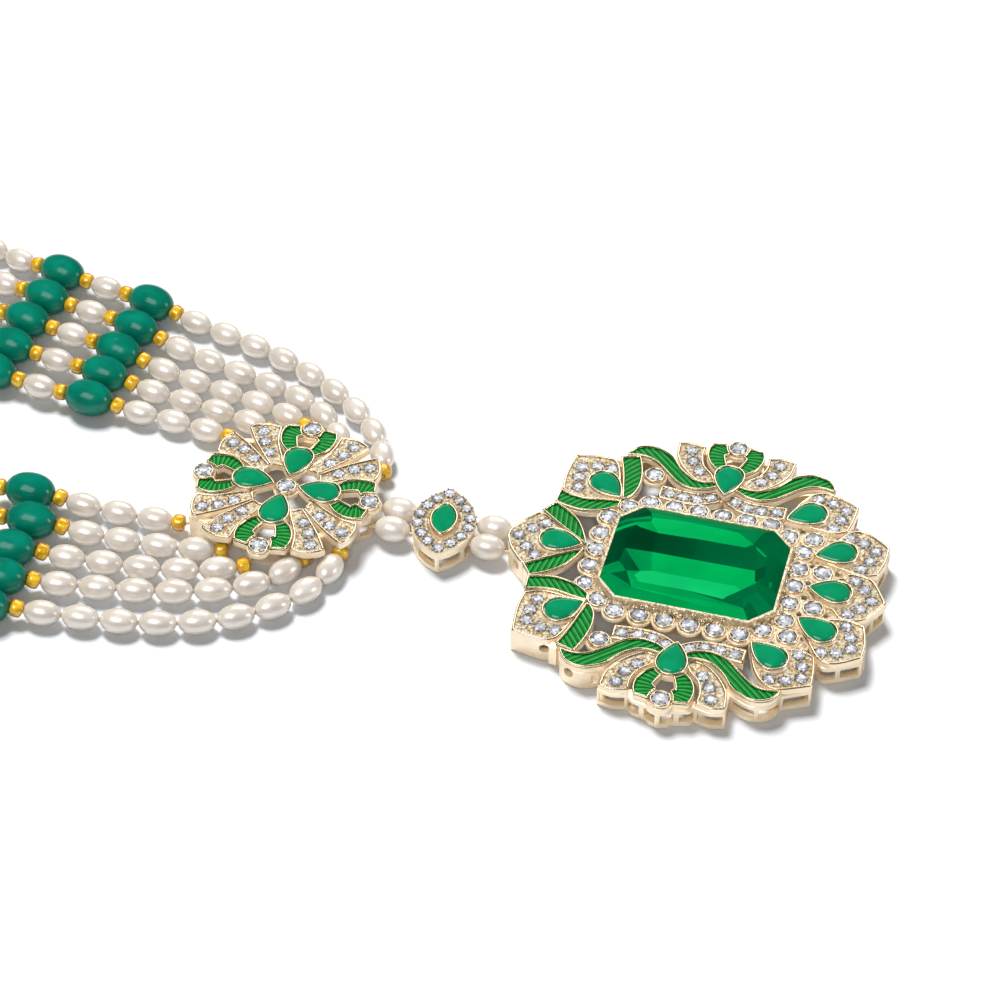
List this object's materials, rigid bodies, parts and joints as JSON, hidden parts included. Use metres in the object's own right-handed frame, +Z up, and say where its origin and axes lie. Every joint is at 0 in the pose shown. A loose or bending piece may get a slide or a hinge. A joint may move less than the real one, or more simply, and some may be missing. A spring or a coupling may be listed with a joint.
{
  "type": "layered necklace",
  "caption": "Layered bead necklace lying flat: strands of pearls and green beads meet in an enamelled medallion, a leaf link and a large openwork pendant with a step-cut green stone.",
  "frame": {"origin": "on the table under the middle of the pendant's large stone", "axes": "+X along the pendant's long axis, away from the strands; +Z up from the table, the side that faces out when worn"},
  "size_m": [0.32, 0.1605, 0.0068],
  "materials": {
    "gold_metal": "polished cast champagne-gold plating, grainy between the stones",
    "green_enamel": "glossy transparent green enamel over ribbed metal",
    "white_stone": "clear brilliant-cut stone",
    "emerald_stone": "transparent green step-cut stone, polished",
    "drop_stone": "opaque emerald-teal cabochon, glossy",
    "pearl": "creamy nacre with a soft sheen",
    "green_bead": "translucent deep teal-green glass, glossy",
    "gold_bead": "transparent amber-gold glass with a gilt bore",
    "thread": "pale gold beading thread"
  },
  "bodies": {
    "root": {"pendant_frame": "gold_metal", "large_stone": "emerald_stone", "halo_stones": "white_stone", "petal_stones": "white_stone", "pendant_enamel": "green_enamel", "drop_flower_far": "drop_stone", "drop_flower_near": "drop_stone", "drop_left_far": "drop_stone", "drop_left_near": "drop_stone", "drop_left_axis": "drop_stone", "drop_right_far_1": "drop_stone", "drop_right_near_1": "drop_stone", "drop_right_far_2": "drop_stone", "drop_right_near_2": "drop_stone", "drop_right_axis": "drop_stone", "medallion_frame": "gold_metal", "medallion_stones": "white_stone", "medallion_enamel": "green_enamel", "medallion_drop_1": "drop_stone", "medallion_drop_2": "drop_stone", "medallion_drop_3": "drop_stone", "medallion_drop_4": "drop_stone", "leaf_frame": "gold_metal", "leaf_stone": "drop_stone", "link_pearl_1": "pearl", "link_pearl_2": "pearl", "link_pearl_3": "pearl", "link_pearl_4": "pearl", "link_threads": "thread", "beads_far_1": "pearl", "beads_far_2": "pearl", "beads_far_3": "pearl", "beads_far_4": "pearl", "beads_far_5": "pearl", "beads_near_1": "pearl", "beads_near_2": "pearl", "beads_near_3": "pearl", "beads_near_4": "pearl", "beads_near_5": "pearl", "threads_far": "thread", "threads_near": "thread", "back_far_1": "pearl", "back_far_2": "pearl", "back_far_3": "pearl", "back_far_4": "pearl", "back_far_5": "pearl", "back_near_1": "pearl", "back_near_2": "pearl", "back_near_3": "pearl", "back_near_4": "pearl", "back_near_5": "pearl", "clasp": "gold_metal"}
  },
  "joints": []
}
